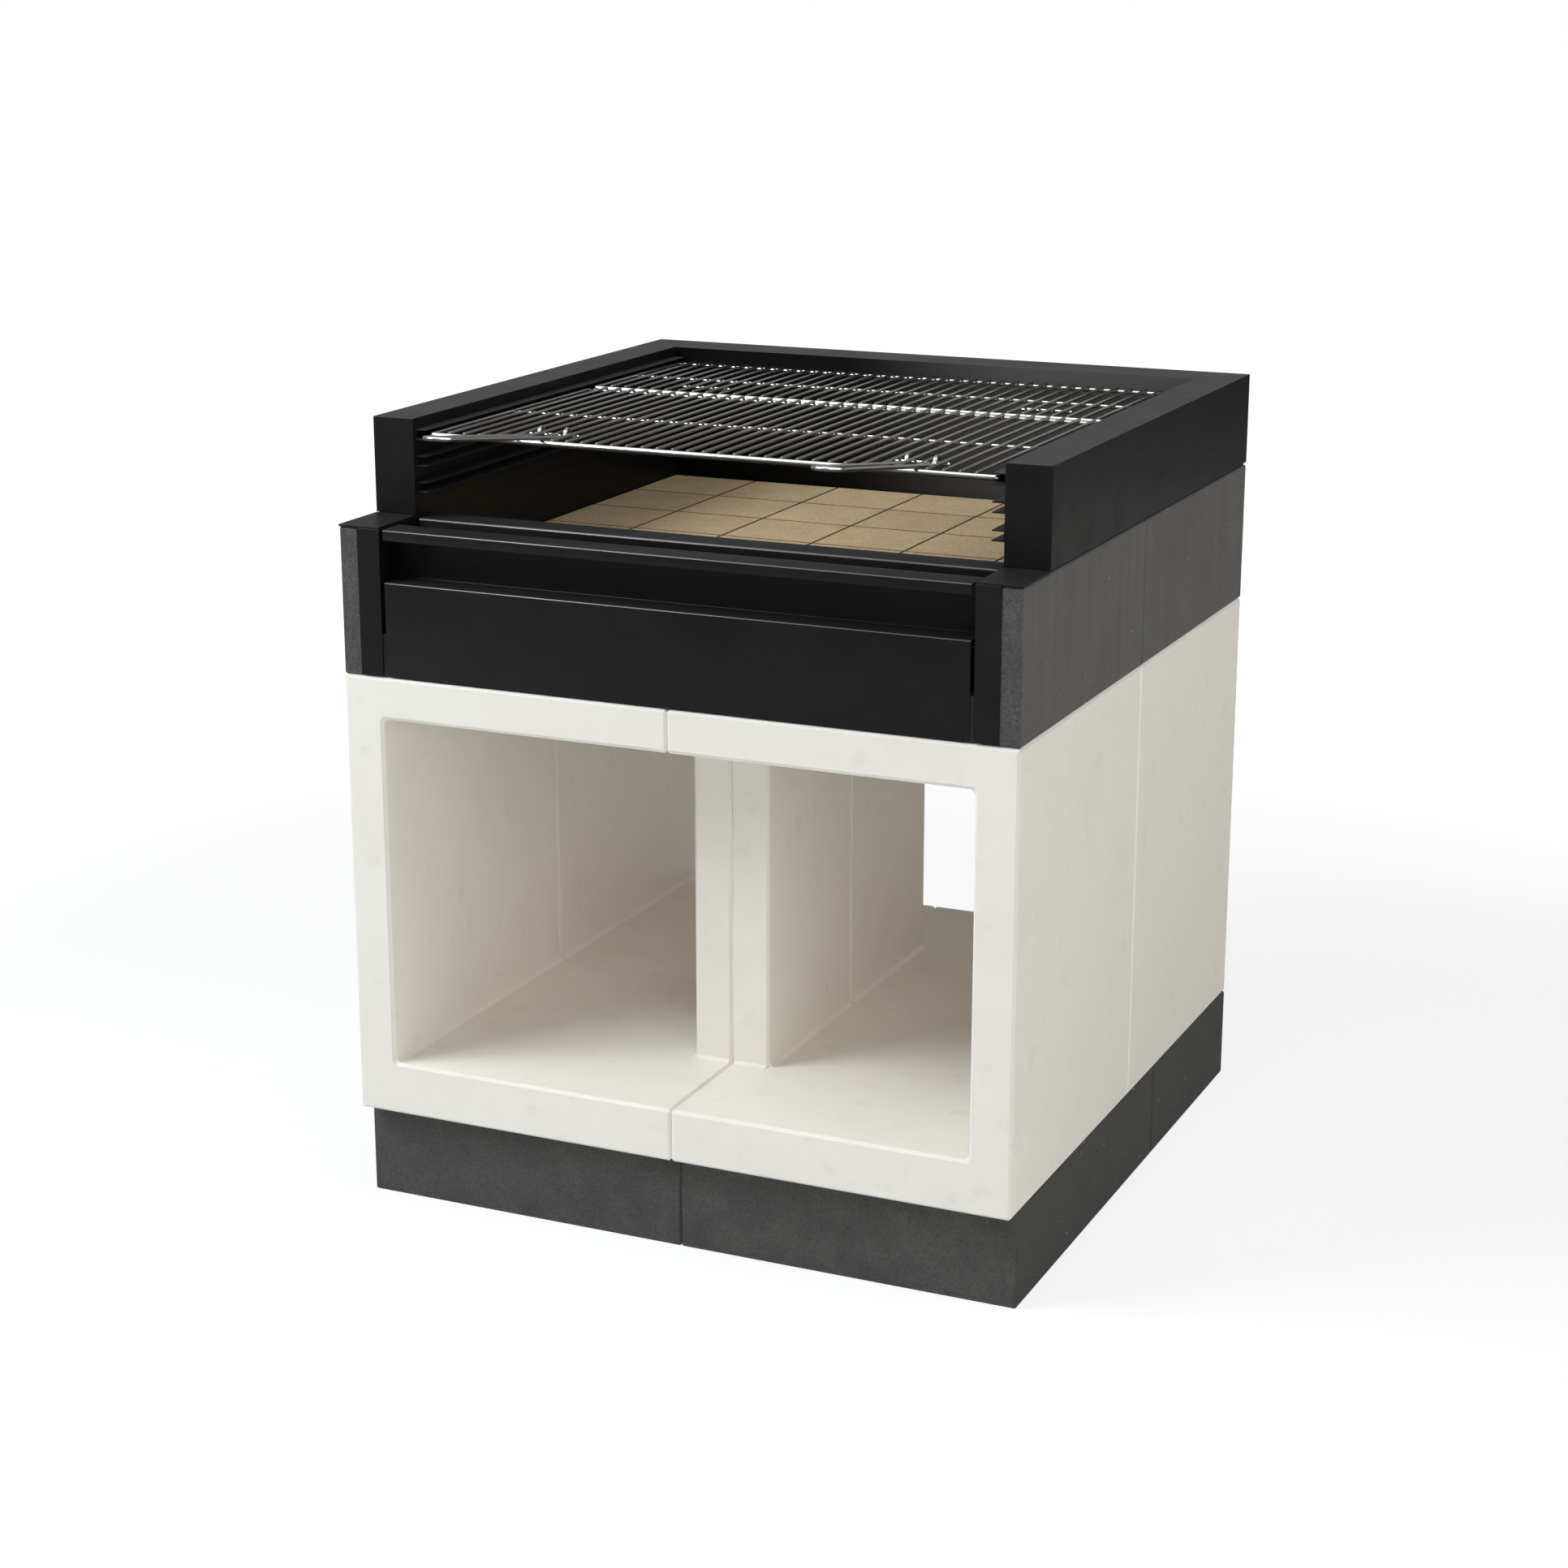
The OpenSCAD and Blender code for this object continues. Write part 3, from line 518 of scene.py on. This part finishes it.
toned = step(tree, "VectorMath", [(0, clay.outputs["Color"]), ("Scale", dimmed.outputs[0])],
             operation="SCALE")
grits = step(tree, "Group", [("Position", where.outputs["Object"]), ("Spacing", 0.008), ("Radius", 0.20),
                             ("Share", 0.25)], node_tree=specks)
colour = step(tree, "Mix", [(0, grits.outputs["Mask"]), (6, toned.outputs[0]), (7, (0.28, 0.20, 0.115, 1))],
              data_type="RGBA")
wire(tree, colour.outputs[2], skin.inputs["Base Color"])
relief = step(tree, "Bump", [("Strength", 0.6), ("Distance", 0.0012), ("Height", grit.outputs["Fac"])])
wire(tree, relief.outputs["Normal"], skin.inputs["Normal"])
for row in range(brick_rows):
    for column in range(brick_columns):
        finish_node(f"firebrick_{row + 1}_{column + 1}", firebrick, 0.0004, 1)

# Ash drawer
# A folded front with a recess to pull it by, an open tray welded behind it and two
# angles that it runs on, all in the same black sheet steel.
drawer_sheet = 0.0015
drawer_bend = 0.0016
panel_height = 0.114
nose_height = 0.0125
low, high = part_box("drawer_front")
half = drawer_sheet / 2
shelf_z = low.z + panel_height - half
drawer_front = fold_sheet("drawer_front_sheet", low.x, high.x, [
    (low.y + half, low.z), (low.y + half, shelf_z), (high.y - half, shelf_z), (high.y - half, high.z - half),
    (low.y + half, high.z - half), (low.y + half, high.z - nose_height)], drawer_sheet, drawer_bend)
drawer_front.data.materials.append(black_steel)
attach(drawer_front, "drawer")
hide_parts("drawer_front")
for name in ("drawer_tray", "runner_left", "runner_right"):
    finish_node(name, black_steel, 0.0005)

# Grids
# Stainless wire: 35 straight rods welded across heavier wires and a bent frame, and short
# wires under the rods for the handles' hooks. Bright, with drawn grain, painted shade on the
# undersides, and painted shade on the rods and their weld beads where they face the front.
hooks_z = (0.9595, 0.9615)
hooks_from_y = -0.224

# Drawn wire: a tarnished tone and a fine grain along Y. It is painted dark on the faces that
# look down, a painted shade, and, as far as the last input asks, on faces towards the front,
# also a painted shade; it is also darker on the handles' hooks above a set height. Where
# darkened it is rougher too.
drawn_wire, given, result = group(
    "drawn wire",
    [("Position", "Vector", None), ("Facing", "Vector", None), ("End Shade", "Float", 0.0)],
    [("Color", "Color"), ("Roughness", "Float"), ("Normal", "Vector")],
)
tree = drawn_wire
drawn = step(tree, "Mapping", [("Vector", given.outputs["Position"]), ("Scale", (1.0, 0.04, 1.0))])
grain = step(tree, "TexNoise", [("Vector", drawn.outputs["Vector"]), ("Scale", 900.0), ("Detail", 2.0)])
tarnish = step(tree, "Group", [("Position", given.outputs["Position"]), ("Size", 0.05),
                               ("Tone", (0.60, 0.595, 0.58, 1)), ("Cloud", (0.52, 0.51, 0.49, 1)),
                               ("Low", 0.45), ("High", 0.75)], node_tree=clouds)
apart = step(tree, "SeparateXYZ", [(0, given.outputs["Facing"])])
# Faces that look down are painted dark: painted shade.
painted_underside_shade = step(tree, "MapRange", [("Value", apart.outputs["Z"]), ("From Min", 0.45), ("From Max", -0.15)],
              interpolation_type="SMOOTHSTEP")
place = step(tree, "SeparateXYZ", [(0, given.outputs["Position"])])
# Above a set height and behind a set line, which takes in the handles' hooks, the wire is made darker.
raised = step(tree, "MapRange", [("Value", place.outputs["Z"]), ("From Min", hooks_z[0]),
                                 ("From Max", hooks_z[1]), ("To Min", 0.0), ("To Max", 0.85)])
hooked = step(tree, "Math", [(0, place.outputs["Y"]), (1, hooks_from_y)], operation="GREATER_THAN")
darker_hook_tops = step(tree, "Math", [(0, raised.outputs["Result"]), (1, hooked.outputs[0])], operation="MULTIPLY")
# Faces towards the front are painted dark, as far as the last input asks: painted shade.
facing_front = step(tree, "MapRange", [("Value", apart.outputs["Y"]), ("From Min", -0.08), ("From Max", -0.45)],
              interpolation_type="SMOOTHSTEP")
painted_end_shade = step(tree, "Math", [(0, facing_front.outputs["Result"]), (1, given.outputs["End Shade"])],
              operation="MULTIPLY")
underside_shade_and_hook_tops = step(tree, "Math", [(0, painted_underside_shade.outputs["Result"]), (1, darker_hook_tops.outputs[0])], operation="MAXIMUM")
darkened_share = step(tree, "Math", [(0, underside_shade_and_hook_tops.outputs[0]), (1, painted_end_shade.outputs[0])], operation="MAXIMUM")
colour = step(tree, "Mix", [(0, darkened_share.outputs[0]), (6, tarnish.outputs["Color"]),
                            (7, (0.10, 0.093, 0.085, 1))], data_type="RGBA")
polish = step(tree, "MapRange", [("Value", grain.outputs["Fac"]), ("To Min", 0.16), ("To Max", 0.26)])
rough = step(tree, "Math", [(0, darkened_share.outputs[0]), (1, 0.22), (2, polish.outputs["Result"])],
             operation="MULTIPLY_ADD")
relief = step(tree, "Bump", [("Strength", 0.05), ("Distance", 0.0002), ("Height", grain.outputs["Fac"])])
wire(tree, colour.outputs[2], result.inputs["Color"])
wire(tree, rough.outputs[0], result.inputs["Roughness"])
wire(tree, relief.outputs["Normal"], result.inputs["Normal"])

stainless = grouped_finish("stainless wire", drawn_wire, {"Metallic": 1.0}, [("End Shade", 0.0)])
# The rods and weld beads are painted dark where they face the front: painted shade.
rods_with_end_shade = grouped_finish("stainless rods", drawn_wire, {"Metallic": 1.0}, [("End Shade", 1.0)])


def bend_wire(name, place, along, diameter, moves, sides=14):
    """Draws a wire from its first end. A move is ("run", length), which goes straight on,
    or ("bend", radius, axis, angle, steps), which turns about the axis."""
    place, along = Vector(place), Vector(along).normalized()
    radius = diameter / 2
    # The cut ends are rounded over: two steps in size, and how far each lies from the next.
    tip, shoulder = 0.55, 0.82
    tip_run, shoulder_run = 0.20 * radius, 0.35 * radius
    bpy.ops.object.select_all(action="DESELECT")
    bpy.ops.mesh.primitive_circle_add(vertices=sides, radius=radius, location=place,
                                      rotation=along.to_track_quat("Z", "Y").to_euler())
    bpy.ops.object.transform_apply(location=True, rotation=True, scale=True)
    bent = bpy.context.object
    bent.name = name
    bpy.ops.object.mode_set(mode="EDIT")
    bpy.ops.mesh.select_all(action="SELECT")

    def ring(distance, size):
        nonlocal place
        place = place + along * distance
        bpy.ops.mesh.extrude_region_move(TRANSFORM_OT_translate={"value": along * distance})
        if size != 1:
            bpy.ops.transform.resize(value=(size, size, size), center_override=place)

    bpy.ops.transform.resize(value=(tip, tip, tip), center_override=place)
    ring(tip_run, shoulder / tip)
    ring(shoulder_run, 1 / shoulder)
    for number, move in enumerate(moves):
        if move[0] == "run":
            rounded = (number == 0) + (number == len(moves) - 1)
            ring(move[1] - rounded * (tip_run + shoulder_run), 1)
        else:
            _, bend_radius, axis, angle, steps = move
            axis = Vector(axis)
            centre = place + axis.cross(along).normalized() * bend_radius
            bpy.ops.mesh.spin(steps=steps, angle=-angle, center=centre, axis=axis)
            turned = Matrix.Rotation(angle, 3, axis)
            place = centre + turned @ (place - centre)
            along = turned @ along
    ring(shoulder_run, shoulder)
    ring(tip_run, tip / shoulder)
    bpy.ops.mesh.select_all(action="SELECT")
    bpy.ops.mesh.remove_doubles(threshold=0.000005)
    bpy.ops.mesh.fill_holes(sides=0)
    bpy.ops.mesh.normals_make_consistent(inside=False)
    bpy.ops.object.mode_set(mode="OBJECT")
    bpy.ops.object.shade_smooth_by_angle(angle=radians(50))
    return bent


def repeat(piece, count, pitch):
    """Repeats a piece along X, as one piece."""
    row = piece.modifiers.new("row", "ARRAY")
    row.count = count
    row.use_relative_offset = False
    row.use_constant_offset = True
    row.constant_offset_displace = (pitch, 0, 0)
    bpy.context.view_layer.objects.active = piece
    bpy.ops.object.modifier_apply(modifier=row.name)
    return piece


def weld_beads(name, first, count, pitch):
    """A row of small weld beads, pressed flat between two wires."""
    bpy.ops.object.select_all(action="DESELECT")
    bpy.ops.mesh.primitive_uv_sphere_add(segments=10, ring_count=6, radius=1)
    beads = bpy.context.object
    beads.name = name
    bpy.ops.object.mode_set(mode="EDIT")
    bpy.ops.mesh.select_all(action="SELECT")
    bpy.ops.transform.resize(value=(0.0019, 0.0019, 0.0007), center_override=(0, 0, 0))
    bpy.ops.transform.translate(value=first)
    bpy.ops.object.mode_set(mode="OBJECT")
    bpy.ops.object.shade_smooth()
    return repeat(beads, count, pitch)


def copy_piece(piece, name, shift):
    """Copies a piece, with a mesh of its own, to another place."""
    bpy.ops.object.select_all(action="DESELECT")
    piece.select_set(True)
    bpy.context.view_layer.objects.active = piece
    bpy.ops.object.duplicate()
    copied = bpy.context.object
    copied.name = name
    copied.location = shift
    bpy.ops.object.transform_apply(location=True)
    return copied


rod_d = 0.004
rod_rise = 0.0035
rod_foot = 0.0014
rod_count = 35
first_rod = 0.0275
wire_d = 0.005
weld_overlap = 0.0003
bar_d = 0.007
bar_bend = 0.006
left_seat = -11.5
right_seat = 12.5
quarter = radians(90)
# Places are measured from the front bar. A seat is its place, its length and the number of
# rods that it crosses, and the seats' middles are counted in rods from the grid's middle.
for name, first_wire, second_wire, seats in (
    ("front", 0.205, 0.408, ((0.064, 0.068, 4), (0.030, 0.026, 2))),
    ("rear", 0.127, 0.257, ((0.064, 0.068, 4),)),
):
    low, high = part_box("grid_" + name)
    bar_x = high.x - bar_d / 2
    bar_y = low.y + bar_d / 2
    bar_z = low.z + bar_d / 2
    rod_x = first_rod - bar_x
    rod_z = bar_z + rod_rise
    wire_z = rod_z - (rod_d + wire_d) / 2 + weld_overlap
    bead_z = rod_z - rod_d / 2 + weld_overlap / 2
    pitch = -2 * rod_x / (rod_count - 1)
    corner = ("bend", bar_bend, (0, 0, 1), quarter, 6)
    side_run = ("run", high.y - bar_y - bar_bend)
    grid_frame = bend_wire(f"{name}_grid_frame", (-bar_x, high.y, bar_z), (0, -1, 0), bar_d, [
        side_run, corner, ("run", 2 * (bar_x - bar_bend)), corner, side_run], 18)
    rod = bend_wire(f"{name}_grid_rods", (rod_x, high.y, rod_z), (0, -1, 0), rod_d, [
        ("run", high.y - bar_y - rod_rise), ("bend", rod_rise, (1, 0, 0), quarter, 6), ("run", rod_foot)])
    cross_wire = bend_wire(f"{name}_grid_cross_wire_1", (-bar_x, bar_y + first_wire, wire_z), (1, 0, 0),
                           wire_d, [("run", 2 * bar_x)])
    beads = weld_beads(f"{name}_grid_beads_1", (rod_x, bar_y + first_wire, bead_z), rod_count, pitch)
    pieces = [grid_frame, repeat(rod, rod_count, pitch), cross_wire, beads]
    further = (0, second_wire - first_wire, 0)
    pieces.append(copy_piece(cross_wire, f"{name}_grid_cross_wire_2", further))
    pieces.append(copy_piece(beads, f"{name}_grid_beads_2", further))
    seated = []
    for number, (back, long, crossed) in enumerate(seats, 1):
        seated.append(bend_wire(f"{name}_grid_left_seat_{number}",
                                (left_seat * pitch - long / 2, bar_y + back, wire_z), (1, 0, 0), wire_d,
                                [("run", long)]))
        outermost = left_seat - (crossed - 1) / 2
        seated.append(weld_beads(f"{name}_grid_left_seat_beads_{number}",
                                 (outermost * pitch, bar_y + back, bead_z), crossed, pitch))
    across = ((right_seat - left_seat) * pitch, 0, 0)
    pieces += seated + [copy_piece(piece, piece.name.replace("left", "right"), across) for piece in seated]
    for piece in pieces:
        piece.data.materials.append(rods_with_end_shade if "rods" in piece.name or "beads" in piece.name else stainless)
        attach(piece, name + "_grid")
        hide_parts("grid_" + name)

# Handles
# Two hairpins of 5 mm stainless wire, each bent from one length, with both ends hooked
# over a short wire under the rods. A handle swings up about that wire.
handle_d = 0.005
loop_r = 0.0175
hook_r = 0.0055
neck_r = 0.0045
hook_tail = 0.0058
leg_run = 0.25745
# The hooks sit loosely, their bend this far behind and above the wire.
hook_slack = Vector((0, 0.0004, 0.0027))
tilt = Matrix.Rotation(radians(-7.9), 3, "X")
across, upright = Vector((1, 0, 0)), tilt @ Vector((0, 0, 1))
hinges = {joint["name"]: Vector(joint["pos_m"]) for joint in frame["record"]["behaviour"]["joints"]
          if joint["type"] == "hinge"}
hinge_left, hinge_right = hinges["handle_left_swing"], hinges["handle_right_swing"]
start = hinge_left + hook_slack + tilt @ Vector((-loop_r, hook_r, -hook_tail))
half_turn = radians(180)
left_handle = bend_wire("left_handle", start, upright, handle_d, [
    ("run", hook_tail), ("bend", hook_r, across, half_turn, 12), ("bend", neck_r, -across, quarter, 6),
    ("run", leg_run), ("bend", loop_r, upright, half_turn, 20), ("run", leg_run),
    ("bend", neck_r, across, quarter, 6), ("bend", hook_r, -across, half_turn, 12), ("run", hook_tail)], 18)
right_handle = copy_piece(left_handle, "right_handle", hinge_right - hinge_left)
for handle, node in ((left_handle, "handle_left"), (right_handle, "handle_right")):
    handle.data.materials.append(stainless)
    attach(handle, node)
    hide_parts(node)
